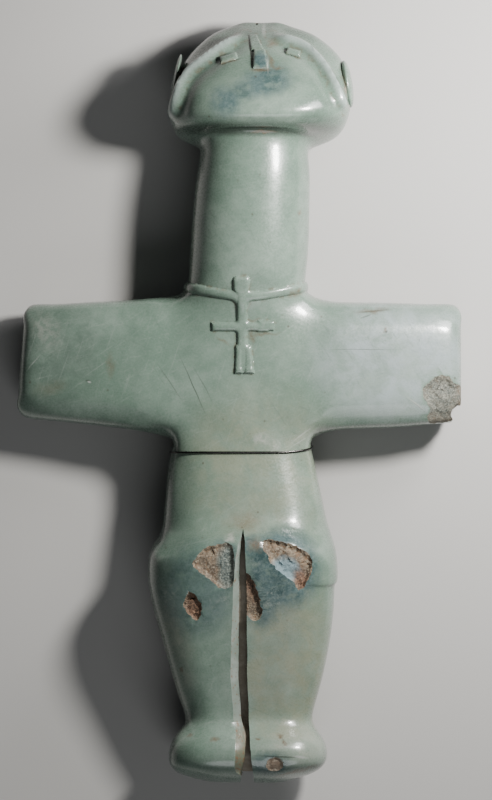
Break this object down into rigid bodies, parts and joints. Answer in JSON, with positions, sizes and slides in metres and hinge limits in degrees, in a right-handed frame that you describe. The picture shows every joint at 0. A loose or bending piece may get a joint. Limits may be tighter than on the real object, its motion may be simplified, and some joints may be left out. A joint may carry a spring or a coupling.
{
  "type": "cruciform stone figurine",
  "caption": "Small polished stone figure in the shape of a cross, with outstretched arms, raised knees and a backward-tilted face, lying on its back.",
  "frame": {"origin": "on the surface that the figure lies on, under the middle of its outline", "axes": "+Y from the soles to the crown, +X towards the right as the front is seen, +Z from the back to the front"},
  "size_m": [0.0893, 0.153, 0.0284],
  "materials": {
    "picrolite": "polished pale grey-green stone with brown chips",
    "wire": "dark fine wire"
  },
  "bodies": {
    "root": {"figurine": "picrolite", "display_wire": "wire"}
  },
  "joints": []
}
